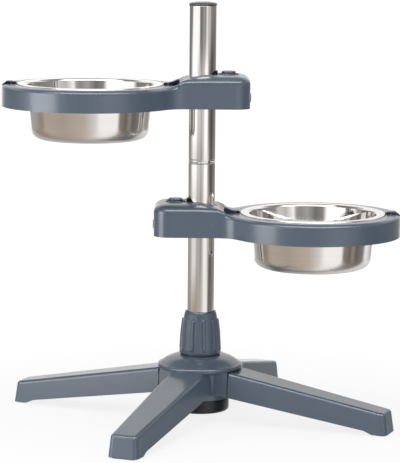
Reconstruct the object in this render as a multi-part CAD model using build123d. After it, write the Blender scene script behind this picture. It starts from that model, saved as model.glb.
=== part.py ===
from build123d import *
from math import acos, asin, atan2, cos, degrees, pi, radians, sin, sqrt, tan
import os

# Elevated pet feeder: two one-piece bowl arms on a steel pole over a four-legged base.
# Millimetres. The origin is the pole's axis on the floor, +Z is up, and the arms lie along X.

# Pole
POLE_R = 15.0
POLE_WALL = 1.5
POLE_FOOT_Z = 27.0
POLE_SEAM_Z = 286.5
POLE_TOP_Z = 456.0
SEAM_GROOVE = 1.2
SEAM_DEPTH = 0.4
JOINER_REACH = 31.0
JOINER_WALL = 4.0
PLUG_LENGTH = 20.0
CAP_HEIGHT = 4.2
CAP_OVERHANG = 0.7
CAP_STEM = 10.0

# Base
LEG_TURN = -21.1
LEG_REACH = 221.0
LEG_ROOT_R = 40.0
LEG_ROOT_WIDTH = 42.0
LEG_TIP_WIDTH = 30.5
LEG_ROOT_TOP = 56.6
LEG_ROOT_FLOOR = 29.0
LEG_TIP_TOP = 24.0
LEG_TIP_FLOOR = 1.2
LEG_TIP_LEAN = 3.0
LEG_DRAFT = 4.5
LEG_EDGE = 4.0
LEG_TIP_CORNER = 5.0
LEG_WALL = 3.0
LEG_RIB = 2.2
LEG_POCKETS = 4
LEG_SEAM = 0.9
FOOT_LENGTH = 16.0
FOOT_RAMP = 9.0
PAD_THICK = 3.0
PAD_INSET = 2.5
TONGUE_LENGTH = 16.0
TONGUE_WIDTH = 22.0
TONGUE_HEIGHT = 16.0
TONGUE_FIT = 0.2
HUB_R = 33.0
HUB_FLOOR_Z = 24.0
DISC_R = 47.0
DISC_LIP_Z = 57.0
DISC_EDGE_Z = 62.5
DISC_TOP_Z = 71.5
DISC_FLAT_R = 24.0
DISC_CROWN = 1.0
DISC_COVE = 8.0
HUB_WALL = 3.0
BASE_CAP_R = 32.5
BASE_CAP_Z = 9.2
BASE_CAP_CORNER = 3.4
BASE_CAP_WALL = 2.5
BOLT_R = 4.0
BOLT_HEAD_R = 6.5
BOLT_HEAD_H = 6.0
BOLT_SUNK = 1.0
LEG_SCREW_R = 2.0
LEG_SCREW_HEAD_R = 3.4
LEG_SCREW_HEAD_H = 2.5
LEG_SCREW_SPACING = 12.0

# Collet and locking collar at the foot of the pole
SPIGOT_R = 19.2
SPIGOT_TOP_Z = 102.0
COLLET_FOOT_Z = 60.0
COLLET_WALL = 1.7
COLLET_HEAD_R = 18.2
COLLET_TOP_Z = 116.0
COLLET_SLOT = 1.2
COLLAR_FOOT_Z = 72.2
COLLAR_TOP_Z = 119.6
COLLAR_RUN = 0.08
COLLAR_RIDGES = 10
COLLAR_RIDGE_WIDTH = 2.0
COLLAR_RIDGE_HEIGHT = 1.5
COLLAR_RIDGE_TURN = -79.0
COLLAR_FOOT_R = 23.0
COLLAR_WAIST_R = 21.9
COLLAR_WAIST_H = 25.0
COLLAR_NECK_R = 20.4
COLLAR_NECK_DROP = 8.5
COLLAR_SHOULDER_R = 18.6
COLLAR_MOUTH_R = 17.6
COLLAR_BAND = 3.0

# Bowl
BOWL_FLANGE_R = 79.8
BOWL_FLANGE = 9.4
BOWL_TAPER = 5.8
BOWL_DROP = 36.5
BOWL_CORNER = 14.5
BOWL_LIP_R = 3.0
BOWL_BEAD_R = 1.1
BOWL_SHEET = 0.9
BOWL_GAP = 0.6
BOWL_SEAT_GAP = 0.1

# Bowl arms
UPPER_ARM_Z = 346.0
LOWER_ARM_Z = 206.0
SEAT_R = BOWL_FLANGE_R + BOWL_GAP
SEAT_DEPTH = 1.5
RING_LEDGE = 5.3
RING_BORE_R = BOWL_FLANGE_R - RING_LEDGE
RING_RIM = 16.1
RING_R = SEAT_R + RING_RIM
RING_STANDOFF = 26.0
RING_OFFSET = RING_R + RING_STANDOFF
RING_HEIGHT = 23.5
BLOCK_END = 52.0
BLOCK_WIDTH = 74.0
BLOCK_HEIGHT = 31.5
BLOCK_CORNER = 17.0
NECK_BLEND = 27.0
RISER_INSET = 4.0
RISER_RUN = 20.0
RISER_START_R = RING_R - RISER_INSET
ARM_EDGE = 4.8
BLOCK_CROWN = 9.0
ARM_WALL = 3.0
ARM_ROOF = 3.5
RING_ROOF = 4.0
RING_RIBS = 20
RING_RIB = 1.8
BOX_END = 24.0
STEP_X = 6.0
STEP_Z = 20.0

# Guide bush, glide liners and cover in the arm's clamp block
RUN_FIT = 0.05
LOOSE_FIT = 0.3
LINER_WALL = 1.25
BUSH_WALL = 2.25
BUSH_FLANGE = 1.4
BUSH_FLANGE_H = 1.5
BUSH_BOSS_WALL = 2.0
BUSH_CREST = 8.0
BUSH_SLOPE_X = 5.0
BUSH_SLOPE = 0.8
BUSH_LIP = 0.5
BUSH_NECK_WALL = 1.4
BUSH_NECK_H = 2.0
COVER_THICK = 2.5
COVER_FIT = 0.15
COVER_BOSS_TOP = 8.5
COVER_BOSS_WALL = 3.65
COVER_LIP = 1.0
COVER_LUG_THICK = 6.0
COVER_LUG_WIDTH = 12.0
COVER_LUG_TOP = 16.0
COVER_SCREW_R = 1.5
COVER_SCREW_HEAD_R = 3.2
COVER_SCREW_HEAD_H = 1.6
COVER_SCREW_LENGTH = 14.0
COVER_SCREW_BOSS_R = 4.0
COVER_SCREW_OUT_X = 40.0
COVER_SCREW_OUT_Y = 26.5
COVER_SCREW_IN_X = 16.0
COVER_SCREW_IN_Y = 28.5
END_BOSS_R = 5.0
END_BOSS_PROUD = 1.3
END_SCREW_Z = 10.0
END_SCREW_R = 1.75
END_SCREW_HEAD_R = 3.4
END_SCREW_HEAD_H = 2.4

# Release button, lock plate, its pin and its spring
BUTTON_X = 28.5
BUTTON_R = 7.5
BUTTON_PROUD = 6.5
BUTTON_TRAVEL = 3.0
BUTTON_DOME = 1.6
BUTTON_FIT = 0.4
BUTTON_LUG_REACH = 2.0
BUTTON_LUG_WIDTH = 10.0
BUTTON_LUG_THICK = 2.2
BUTTON_STEM_R = 3.0
BUTTON_DISH_R = 9.6
BUTTON_DISH_DEPTH = 1.2
BUTTON_LIP_WALL = 1.4
BUTTON_LIP_H = 1.0
PLATE_THICK = 3.0
PLATE_Z = 10.0
PLATE_WIDTH = 38.0
PLATE_END = 39.0
PLATE_PIN_X = 21.0
PLATE_BEAD_R = 3.0
PLATE_HOLE_GAP = 0.5
PIN_R = 1.5
PIN_RUN = 0.06
EAR_THICK = 3.0
EAR_GAP = 0.4
EAR_FOOT_Z = 8.0
EAR_WIDTH = 6.5
SPRING_X = 34.0
SPRING_R = 3.6
SPRING_WIRE_R = 0.45
SPRING_TURNS = 5
SPRING_STEPS = 200
SPRING_PEG_R = 2.6
SPRING_PEG_H = 2.5

# Rim stops and their rubber noses
STOP_FAR_TURN = 0
STOP_NECK_TURN = 180
STOP_WIDTH = 14.0
STOP_PROUD = 3.0
STOP_NOSE = 4.3
STOP_LENGTH = 6.8
STOP_STEM_DEPTH = 8.0
STOP_STEM_INSET = 2.0
NOSE_INSET = 1.0
NOSE_DROP = 0.4


def tube(outer, inner, low, high):
    """An upright ring or tube on the Z axis."""
    body = Pos(0, 0, low) * extrude(Circle(outer), high - low)
    if inner > 0:
        body -= Pos(0, 0, low) * extrude(Circle(inner), high - low)
    return body


def turned(points):
    """A solid turned about the Z axis from (radius, height) corners."""
    outline = Polyline([(r, 0, z) for r, z in points], close=True)
    return revolve(make_face(outline), Axis.Z)


def block(x, y, z):
    """A box between two limits on each axis."""
    size = (x[1] - x[0], y[1] - y[0], z[1] - z[0])
    middle = ((x[0] + x[1]) / 2, (y[0] + y[1]) / 2, (z[0] + z[1]) / 2)
    return Pos(*middle) * Box(*size)


def rod(radius, start, end, along):
    """A round bar along X or Y between two coordinates, through the origin's line."""
    turn = Rot(0, 90, 0) if along == "x" else Rot(-90, 0, 0)
    body = turn * extrude(Circle(radius), end - start)
    return (Pos(start, 0, 0) if along == "x" else Pos(0, start, 0)) * body


def screw(shank, length, head, head_height):
    """A pan screw standing on its head at the origin, with a cross-shaped drive recess."""
    body = tube(head, 0, 0, head_height) + tube(shank, 0, head_height, head_height + length)
    slot = head * 1.1
    depth = head_height * 0.45
    drive = Box(slot, head * 0.25, 2 * depth) + Box(head * 0.25, slot, 2 * depth)
    return body - drive


# Pole: two steel tubes of one diameter, joined inside by a turned plug
def pole_tubes():
    bore = POLE_R - POLE_WALL
    lower = tube(POLE_R, bore, POLE_FOOT_Z, POLE_SEAM_Z - SEAM_GROOVE / 2)
    upper = tube(POLE_R, bore, POLE_SEAM_Z + SEAM_GROOVE / 2, POLE_TOP_Z)
    return lower, upper


def pole_joiner():
    fit = POLE_R - POLE_WALL
    body = tube(fit, fit - JOINER_WALL, POLE_SEAM_Z - JOINER_REACH, POLE_SEAM_Z + JOINER_REACH)
    collar = tube(POLE_R - SEAM_DEPTH, fit, POLE_SEAM_Z - SEAM_GROOVE / 2, POLE_SEAM_Z + SEAM_GROOVE / 2)
    return body + collar


def pole_plug():
    return tube(POLE_R - POLE_WALL, BOLT_R, POLE_FOOT_Z, POLE_FOOT_Z + PLUG_LENGTH)


def pole_cap():
    head = tube(POLE_R + CAP_OVERHANG, 0, POLE_TOP_Z, POLE_TOP_Z + CAP_HEIGHT)
    head = fillet(head.edges().sort_by(Axis.Z)[-1], CAP_HEIGHT * 0.6)
    fit = POLE_R - POLE_WALL
    return head + tube(fit, fit - POLE_WALL, POLE_TOP_Z - CAP_STEM, POLE_TOP_Z)


# Base: a moulded hub with its front and back legs, and two plug-in side legs
def leg_top(r):
    """Height of a leg's straight top edge at a distance from the pole's axis."""
    return LEG_ROOT_TOP + (LEG_TIP_TOP - LEG_ROOT_TOP) * (r - LEG_ROOT_R) / (LEG_REACH - LEG_ROOT_R)


def leg_floor(r):
    """Height of a leg's straight underside at a distance from the pole's axis."""
    return LEG_ROOT_FLOOR + (LEG_TIP_FLOOR - LEG_ROOT_FLOOR) * (r - LEG_ROOT_R) / (LEG_REACH - LEG_ROOT_R)


def leg_half(r):
    """Half the width of a leg at a distance from the pole's axis."""
    share = (r - LEG_ROOT_R) / (LEG_REACH - LEG_ROOT_R)
    return (LEG_ROOT_WIDTH + (LEG_TIP_WIDTH - LEG_ROOT_WIDTH) * share) / 2


def leg_block(side, inset=0.0):
    """A side outline of (distance, height) points carried across the leg, between its drafted sides."""
    start = min(r for r, z in side) - LEG_EDGE
    end = LEG_REACH + LEG_EDGE
    spread = tan(radians(LEG_DRAFT))
    near = leg_half(start) + leg_top(start) * spread - inset
    far = leg_half(end) + leg_top(end) * spread - inset
    plan = Polyline([(start, -near), (end, -far), (end, far), (start, near)], close=True)
    slab = extrude(make_face(Polyline([(r, 0, z) for r, z in side], close=True)), LEG_ROOT_WIDTH, both=True)
    deep = 2 * LEG_WALL
    wide = Pos(0, 0, -deep) * extrude(make_face(plan), LEG_ROOT_TOP + 2 * deep, taper=LEG_DRAFT)
    return slab & wide


def leg_stub(start, end):
    """A plain stretch of the leg between two distances."""
    top = [(start, leg_top(start)), (end, leg_top(end))]
    return leg_block(top + [(end, leg_floor(end)), (start, leg_floor(start))])


def leg_pocket(start, end):
    """The hollow under a stretch of the leg, a wall in from its sides and top."""
    top = [(start, leg_top(start) - LEG_WALL), (end, leg_top(end) - LEG_WALL)]
    return leg_block(top + [(end, -LEG_WALL), (start, -LEG_WALL)], LEG_WALL)


def leg_shell(start):
    """A leg from a distance to its tip, with a level foot, rounded outside and pocketed beneath."""
    tip = LEG_REACH - LEG_TIP_LEAN
    foot = LEG_REACH - FOOT_LENGTH
    ramp = foot - FOOT_RAMP
    body = leg_block([
        (start, leg_top(start)),
        (tip, leg_top(tip)),
        (LEG_REACH, LEG_TIP_FLOOR),
        (foot, LEG_TIP_FLOOR),
        (ramp, leg_floor(ramp)),
        (start, leg_floor(start)),
    ])
    corners = [e for e in body.edges() if e.center().X > foot and e.bounding_box().size.Z > LEG_TIP_TOP / 2]
    body = fillet(corners, LEG_TIP_CORNER)
    top = max(body.faces(), key=lambda face: face.area * face.normal_at().Z)
    root_edge = top.edges().sort_by(Axis.X)[0]
    body = fillet([e for e in top.edges() if e != root_edge], LEG_EDGE)
    first = LEG_ROOT_R + TONGUE_LENGTH / 2
    step = (foot - LEG_WALL - first) / LEG_POCKETS
    for i in range(LEG_POCKETS):
        low = first + i * step
        body -= leg_pocket(low, low + step - LEG_RIB)
    return body - foot_pad()


def tongue(fit):
    """The side leg's tongue, or with a fit the hub's socket for it."""
    middle = (LEG_ROOT_TOP + LEG_ROOT_FLOOR) / 2
    half = TONGUE_WIDTH / 2 + fit
    tall = TONGUE_HEIGHT / 2 + fit
    reach = (LEG_ROOT_R - TONGUE_LENGTH - fit, LEG_ROOT_R + LEG_SEAM)
    return block(reach, (-half, half), (middle - tall, middle + tall))


def at_leg_screws(solid):
    """Copies of a solid at a leg's two screws, for a leg along +X."""
    place = LEG_ROOT_R - TONGUE_LENGTH / 4
    half = LEG_SCREW_SPACING / 2
    return [Pos(place, y, 0) * solid for y in (-half, half)]


def leg_screws():
    length = (LEG_ROOT_TOP - LEG_ROOT_FLOOR) / 2
    one = screw(LEG_SCREW_R, length, LEG_SCREW_HEAD_R, LEG_SCREW_HEAD_H)
    return at_leg_screws(Pos(0, 0, LEG_ROOT_FLOOR) * one)


def side_leg():
    """A leg that plugs into the hub with a tongue, drilled for its screws."""
    body = leg_shell(LEG_ROOT_R + LEG_SEAM) + tongue(0)
    top = (LEG_ROOT_TOP + LEG_ROOT_FLOOR) / 2 + LEG_SCREW_HEAD_H
    for hole in at_leg_screws(tube(LEG_SCREW_R, 0, 0, top)):
        body -= hole
    return body


def foot_pad():
    """A flat rubber pad let into the underside of a leg's foot, standing proud of it."""
    end = LEG_REACH - PAD_INSET
    start = LEG_REACH - FOOT_LENGTH + PAD_INSET
    near = leg_half(start) - PAD_INSET
    far = leg_half(end) - PAD_INSET
    plan = Polyline([(start, -near), (end, -far), (end, far), (start, near)], close=True)
    face = make_face(plan)
    return extrude(fillet(face.vertices(), LEG_TIP_CORNER - PAD_INSET), PAD_THICK)


def hub():
    """The moulded hub: domed disc, threaded spigot, four leg roots, and the front and back legs."""
    lip = DISC_EDGE_Z - DISC_LIP_Z
    bend = DISC_COVE * (1 - cos(radians(45)))
    dome = [
        Line((0, 0, HUB_FLOOR_Z), (HUB_R, 0, HUB_FLOOR_Z)),
        Line((HUB_R, 0, HUB_FLOOR_Z), (HUB_R, 0, DISC_LIP_Z - DISC_COVE)),
        ThreePointArc((HUB_R, 0, DISC_LIP_Z - DISC_COVE), (HUB_R + bend, 0, DISC_LIP_Z - bend),
                      (HUB_R + DISC_COVE, 0, DISC_LIP_Z)),
        Line((HUB_R + DISC_COVE, 0, DISC_LIP_Z), (DISC_R - lip / 3, 0, DISC_LIP_Z)),
        ThreePointArc((DISC_R - lip / 3, 0, DISC_LIP_Z), (DISC_R, 0, DISC_LIP_Z + lip / 2.5),
                      (DISC_R - lip / 2, 0, DISC_EDGE_Z)),
        ThreePointArc((DISC_R - lip / 2, 0, DISC_EDGE_Z),
                      ((DISC_R + DISC_FLAT_R) / 2, 0, (DISC_EDGE_Z + DISC_TOP_Z) / 2 + DISC_CROWN),
                      (DISC_FLAT_R, 0, DISC_TOP_Z)),
        Line((DISC_FLAT_R, 0, DISC_TOP_Z), (SPIGOT_R, 0, DISC_TOP_Z)),
        Line((SPIGOT_R, 0, DISC_TOP_Z), (SPIGOT_R, 0, SPIGOT_TOP_Z)),
        Line((SPIGOT_R, 0, SPIGOT_TOP_Z), (0, 0, SPIGOT_TOP_Z)),
        Line((0, 0, SPIGOT_TOP_Z), (0, 0, HUB_FLOOR_Z)),
    ]
    body = revolve(make_face(dome), Axis.Z)
    body -= tube(HUB_R - HUB_WALL, POLE_R + HUB_WALL, HUB_FLOOR_Z, DISC_LIP_Z - HUB_WALL)
    for quarter in range(4):
        body += Rot(0, 0, LEG_TURN + 90 * quarter) * leg_stub(POLE_R + HUB_WALL / 2, LEG_ROOT_R)
    for quarter in (1, 3):
        body += Rot(0, 0, LEG_TURN + 90 * quarter) * leg_shell(LEG_ROOT_R - LEG_EDGE)
    for quarter in (0, 2):
        turn = Rot(0, 0, LEG_TURN + 90 * quarter)
        body -= turn * tongue(TONGUE_FIT)
        hole = tube(LEG_SCREW_R, 0, 0, LEG_ROOT_TOP - HUB_WALL)
        hole += tube(LEG_SCREW_HEAD_R, 0, 0, LEG_ROOT_FLOOR + LEG_SCREW_HEAD_H)
        for cut in at_leg_screws(hole):
            body -= turn * cut
    body -= tube(POLE_R + COLLAR_RUN, 0, POLE_FOOT_Z, SPIGOT_TOP_Z)
    body -= tube(POLE_R + COLLET_WALL, 0, COLLET_FOOT_Z, SPIGOT_TOP_Z)
    return body - tube(BOLT_R, 0, 0, POLE_FOOT_Z)


def base_cap():
    """The black cap that closes the hub from beneath, with a recess for the bolt's head."""
    body = tube(BASE_CAP_R, 0, BASE_CAP_Z, HUB_FLOOR_Z)
    body = fillet(body.edges().sort_by(Axis.Z)[0], BASE_CAP_CORNER)
    seat = BASE_CAP_Z + BOLT_SUNK + BOLT_HEAD_H
    core = BOLT_HEAD_R + BASE_CAP_WALL
    body -= tube(BASE_CAP_R - BASE_CAP_WALL, core, BASE_CAP_Z + BASE_CAP_WALL, HUB_FLOOR_Z)
    body -= tube(BOLT_HEAD_R, 0, BASE_CAP_Z, seat)
    return body - tube(BOLT_R, 0, BASE_CAP_Z, HUB_FLOOR_Z)


def base_bolt():
    """The socket bolt that draws the pole down on the hub."""
    low = BASE_CAP_Z + BOLT_SUNK
    head = tube(BOLT_HEAD_R, 0, low, low + BOLT_HEAD_H)
    head -= Pos(0, 0, low) * extrude(RegularPolygon(BOLT_HEAD_R / 2, 6), BOLT_HEAD_H / 2)
    return head + tube(BOLT_R, 0, low + BOLT_HEAD_H, POLE_FOOT_Z + PLUG_LENGTH - POLE_WALL)


# Collet and collar: the collar turns on the spigot and its cone closes the slotted collet on the pole
def collet():
    """The sleeve that grips the pole, slotted in four where the collar's cone closes it."""
    sleeve = POLE_R + COLLET_WALL
    body = turned([
        (POLE_R, COLLET_FOOT_Z),
        (sleeve, COLLET_FOOT_Z),
        (sleeve, SPIGOT_TOP_Z),
        (COLLET_HEAD_R, SPIGOT_TOP_Z),
        (COLLET_HEAD_R, SPIGOT_TOP_Z + COLLET_WALL),
        (POLE_R + COLLET_WALL / 2, COLLET_TOP_Z),
        (POLE_R, COLLET_TOP_Z),
    ])
    middle = (COLLET_FOOT_Z + SPIGOT_TOP_Z) / 2
    half = COLLET_SLOT / 2
    slot = block((-COLLET_HEAD_R, COLLET_HEAD_R), (-half, half), (middle, COLLET_TOP_Z))
    for turn in (45, 135):
        body -= Rot(0, 0, turn) * slot
    return body


def collar_profile(drop):
    """Radius and height along the collar's outside, drawn in by a drop."""
    return [
        (COLLAR_FOOT_R - drop, COLLAR_FOOT_Z),
        (COLLAR_FOOT_R - drop, COLLAR_FOOT_Z + 2 * COLLAR_BAND),
        (COLLAR_WAIST_R - drop, COLLAR_FOOT_Z + COLLAR_WAIST_H),
        (COLLAR_NECK_R - drop, COLLAR_TOP_Z - COLLAR_NECK_DROP),
    ]


def lock_collar():
    """The tapered hand collar with its grip ridges, hollowed to fit the spigot and the collet's cone."""
    inside = SPIGOT_R + COLLAR_RUN
    roof = SPIGOT_TOP_Z + LOOSE_FIT
    mouth = POLE_R + LOOSE_FIT
    cone = POLE_R + COLLET_WALL / 2 + LOOSE_FIT
    ridged = collar_profile(0)
    body = turned([(inside, COLLAR_FOOT_Z)] + collar_profile(COLLAR_RIDGE_HEIGHT) + [
        (COLLAR_NECK_R, COLLAR_TOP_Z - COLLAR_NECK_DROP + LOOSE_FIT),
        (COLLAR_SHOULDER_R, COLLAR_TOP_Z - COLLAR_BAND / 2),
        (COLLAR_MOUTH_R, COLLAR_TOP_Z),
        (mouth, COLLAR_TOP_Z),
        (mouth, COLLET_TOP_Z + LOOSE_FIT),
        (cone, COLLET_TOP_Z + LOOSE_FIT),
        (COLLET_HEAD_R + LOOSE_FIT, SPIGOT_TOP_Z + COLLET_WALL),
        (COLLET_HEAD_R + LOOSE_FIT, roof),
        (inside, roof),
    ])
    body += tube(COLLAR_FOOT_R, inside, COLLAR_FOOT_Z, COLLAR_FOOT_Z + COLLAR_BAND)
    ridge_ring = turned([(inside, COLLAR_FOOT_Z)] + ridged + [(inside, ridged[-1][1])])
    half = COLLAR_RIDGE_WIDTH / 2
    for i in range(COLLAR_RIDGES):
        wedge = block((inside, DISC_R), (-half, half), (COLLAR_FOOT_Z, COLLAR_TOP_Z))
        body += ridge_ring & (Rot(0, 0, COLLAR_RIDGE_TURN + i * 360 / COLLAR_RIDGES) * wedge)
    return body - tube(inside, 0, COLLAR_FOOT_Z, roof)


# Bowl arm, in its own frame: the pole on the Z axis, the ring towards +X, the underside at zero
def arm_outline(inset):
    """The arm's plan, drawn in: a round-ended block blended into the ring by two hollow arcs."""
    wide = BLOCK_WIDTH / 2 - inset
    corner = BLOCK_CORNER - inset
    ring = RING_R - inset
    blend = NECK_BLEND + inset
    end = -BLOCK_END + inset
    hollow_y = wide + blend
    hollow_x = RING_OFFSET - sqrt((ring + blend) ** 2 - hollow_y ** 2)
    share = ring / (ring + blend)
    touch = (RING_OFFSET + (hollow_x - RING_OFFSET) * share, hollow_y * share)
    swing = degrees(asin((touch[0] - hollow_x) / blend)) / 2
    dip = (hollow_x + blend * sin(radians(swing)), hollow_y - blend * cos(radians(swing)))
    bend = corner * (1 - cos(radians(45)))
    edges = [
        Line((end, corner - wide), (end, wide - corner)),
        ThreePointArc((end, wide - corner), (end + bend, wide - bend), (end + corner, wide)),
        Line((end + corner, wide), (hollow_x, wide)),
        ThreePointArc((hollow_x, wide), dip, touch),
        ThreePointArc(touch, (RING_OFFSET + ring, 0), (touch[0], -touch[1])),
        ThreePointArc((touch[0], -touch[1]), (dip[0], -dip[1]), (hollow_x, -wide)),
        Line((hollow_x, -wide), (end + corner, -wide)),
        ThreePointArc((end + corner, -wide), (end + bend, bend - wide), (end, corner - wide)),
    ]
    return make_face(edges)


def top_cutter():
    """What lies over the ring and its riser: level to the riser, then two tangent arcs up to the block."""
    run = RISER_RUN
    rise = BLOCK_HEIGHT - RING_HEIGHT
    bend = (run ** 2 + rise ** 2) / (4 * rise)
    half = asin(run / 2 / bend) / 2
    away = bend * sin(half)
    lift = bend * (1 - cos(half))
    middle = (RISER_START_R + run / 2, 0, RING_HEIGHT + rise / 2)
    over = BLOCK_HEIGHT + ARM_EDGE
    start = (RISER_START_R, 0, RING_HEIGHT)
    end = (RISER_START_R + run, 0, BLOCK_HEIGHT)
    edges = [
        Line((0, 0, RING_HEIGHT), start),
        ThreePointArc(start, (RISER_START_R + away, 0, RING_HEIGHT + lift), middle),
        ThreePointArc(middle, (end[0] - away, 0, BLOCK_HEIGHT - lift), end),
        Line(end, (end[0], 0, over)),
        Line((end[0], 0, over), (0, 0, over)),
        Line((0, 0, over), (0, 0, RING_HEIGHT)),
    ]
    return Pos(RING_OFFSET, 0, 0) * revolve(make_face(edges), Axis.Z)


def cover_screw_places():
    """Where the cover's four screws stand, as (x, y)."""
    outer = [(-COVER_SCREW_OUT_X, side * COVER_SCREW_OUT_Y) for side in (-1, 1)]
    return outer + [(COVER_SCREW_IN_X, side * COVER_SCREW_IN_Y) for side in (-1, 1)]


def block_plan(inset):
    """The clamp block's room seen from above: round at its outer end and square at the neck."""
    half = BLOCK_WIDTH / 2 - ARM_WALL - inset
    low = -BLOCK_END + ARM_WALL + inset
    high = BOX_END - inset
    plan = Pos((low + high) / 2, 0) * Rectangle(high - low, 2 * half)
    return fillet(plan.vertices().group_by(Axis.X)[0], BLOCK_CORNER - ARM_WALL - inset)


def at_ring(solid, turn=0):
    """A solid drawn about the Z axis, turned and moved to the bowl's axis."""
    return Pos(RING_OFFSET, 0, 0) * Rot(0, 0, turn) * solid


def stop_stem():
    """The part of a rim stop that plugs through the ring's roof."""
    start = SEAT_R + STOP_NOSE
    reach = (start + STOP_STEM_INSET, start + STOP_LENGTH - STOP_STEM_INSET)
    half = STOP_WIDTH / 2 - STOP_STEM_INSET
    return block(reach, (-half, half), (RING_HEIGHT - STOP_STEM_DEPTH, RING_HEIGHT))


def crown_cutter():
    """What lies outside the round that crowns the block's end."""
    start = BLOCK_CROWN - BLOCK_END
    low = BLOCK_HEIGHT - BLOCK_CROWN
    half = BLOCK_WIDTH / 2
    corner = block((-BLOCK_END - ARM_WALL, start), (-half, half), (low, BLOCK_HEIGHT + ARM_WALL))
    return corner - Pos(start, 0, low) * rod(BLOCK_CROWN, -half, half, "y")


def bowl_arm():
    """The one-piece moulded arm: ring, riser, clamp block, ribs, screw bosses and pin ears."""
    body = extrude(arm_outline(0), BLOCK_HEIGHT) - top_cutter() - crown_cutter()
    wall = arm_outline(0).wire()
    raised = [e for e in body.edges() if e.bounding_box().min.Z > RING_HEIGHT - BLOCK_CROWN]
    sides = [e for e in raised if on_wall(e, wall) and (e @ 0.5).X > BUSH_LIP - BLOCK_END]
    body = fillet(sides, ARM_EDGE)

    # Ring: bore, seat for the bowl's flange, and the ribbed channel beneath
    body -= at_ring(tube(RING_BORE_R, 0, 0, BLOCK_HEIGHT))
    seat_z = RING_HEIGHT - SEAT_DEPTH
    body -= at_ring(tube(SEAT_R, 0, seat_z, BLOCK_HEIGHT))
    channel = tube(RING_R - ARM_WALL, RING_BORE_R + ARM_WALL, 0, RING_HEIGHT - RING_ROOF)
    for i in range(RING_RIBS):
        rib = block((RING_BORE_R, RING_R), (-RING_RIB / 2, RING_RIB / 2), (0, RING_HEIGHT))
        channel -= Rot(0, 0, (i + 1 / 2) * 360 / RING_RIBS) * rib
    body -= at_ring(channel)
    for turn in (STOP_FAR_TURN, STOP_NECK_TURN):
        body -= at_ring(stop_stem(), turn)

    # Block: the room for the mechanism, with its bosses and ears left standing
    room = extrude(block_plan(0), STEP_Z)
    room += extrude(block_plan(0), BLOCK_HEIGHT - ARM_ROOF) & block(
        (-BLOCK_END, STEP_X), (-BLOCK_WIDTH, BLOCK_WIDTH), (0, BLOCK_HEIGHT))
    bush_r = bush_outer()
    room -= tube(bush_r + BUSH_BOSS_WALL, 0, STEP_Z, BLOCK_HEIGHT)
    for x, y in cover_screw_places():
        room -= Pos(x, y, 0) * tube(COVER_SCREW_BOSS_R, 0, COVER_THICK, BLOCK_HEIGHT)
    inner_y = PLATE_WIDTH / 2 + EAR_GAP
    for side in (-1, 1):
        ears = sorted((side * inner_y, side * (inner_y + EAR_THICK)))
        room -= block((BOX_END - EAR_WIDTH, BOX_END), ears, (EAR_FOOT_Z, STEP_Z))
    body -= room
    body -= tube(bush_r, 0, 0, BLOCK_HEIGHT - BUSH_NECK_H)
    body -= tube(POLE_R + LOOSE_FIT + BUSH_NECK_WALL, 0, 0, BLOCK_HEIGHT)
    for x, y in cover_screw_places():
        top = COVER_SCREW_HEAD_H + COVER_SCREW_LENGTH
        body -= Pos(x, y, 0) * tube(COVER_SCREW_R, 0, COVER_THICK, top)
    body -= plate_pin()

    # Button hole in a shallow dish with a raised lip, and the end screw's boss
    hole = BUTTON_R + BUTTON_FIT
    lip_top = BLOCK_HEIGHT + BUTTON_LIP_H
    lip = tube(BUTTON_DISH_R + BUTTON_LIP_WALL, 0, BLOCK_HEIGHT - ARM_ROOF / 2, lip_top)
    lip = fillet(lip.edges().sort_by(Axis.Z)[-1], BUTTON_LIP_H * 0.8)
    dish = tube(BUTTON_DISH_R, 0, BLOCK_HEIGHT - BUTTON_DISH_DEPTH, lip_top)
    body += Pos(-BUTTON_X, 0, 0) * lip
    body -= Pos(-BUTTON_X, 0, 0) * (dish + tube(hole, 0, BLOCK_HEIGHT - ARM_ROOF, lip_top))
    end = -BLOCK_END - END_BOSS_PROUD
    boss = rod(END_BOSS_R, end, -BLOCK_END + ARM_WALL / 2, "x")
    body += Pos(0, 0, END_SCREW_Z) * fillet(boss.edges().sort_by(Axis.X)[0], END_BOSS_PROUD * 0.6)
    body -= Pos(0, 0, END_SCREW_Z) * rod(END_SCREW_R, end, -BLOCK_END + ARM_WALL, "x")
    body -= Pos(0, 0, END_SCREW_Z) * rod(END_SCREW_HEAD_R, end, end + END_SCREW_HEAD_H, "x")
    return body


def on_wall(edge, wall):
    """True for an edge that runs along the arm's outer wall, not across its top."""
    middle = edge @ 0.5
    return Vertex(middle.X, middle.Y, 0).distance_to(wall) < BUSH_LIP


def bush_outer():
    return POLE_R + RUN_FIT + LINER_WALL + RUN_FIT + BUSH_WALL


def guide_bush():
    """The black bush in the block's top, with a slanted crest that stands up beside the pole."""
    outer = bush_outer()
    bore = outer - BUSH_WALL
    inner = POLE_R + LOOSE_FIT
    neck = BLOCK_HEIGHT - BUSH_NECK_H
    crest = BLOCK_HEIGHT + BUSH_CREST
    body = tube(outer, bore, STEP_Z, neck - BUSH_LIP)
    body += tube(outer + BUSH_FLANGE, bore, STEP_Z - BUSH_FLANGE_H, STEP_Z)
    body += tube(outer, inner, neck - BUSH_LIP, neck)
    body += tube(inner + BUSH_NECK_WALL, inner, neck, BLOCK_HEIGHT)
    slope = BUSH_SLOPE_X + BUSH_CREST / BUSH_SLOPE
    keep = Polyline([
        (-BUSH_SLOPE_X, 0, BLOCK_HEIGHT),
        (-slope, 0, crest),
        (-slope - outer, 0, crest),
        (-slope - outer, 0, BLOCK_HEIGHT),
    ], close=True)
    collar = tube(inner + BUSH_NECK_WALL, inner, BLOCK_HEIGHT, crest)
    return body + (collar & extrude(make_face(keep), outer, both=True))


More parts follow.
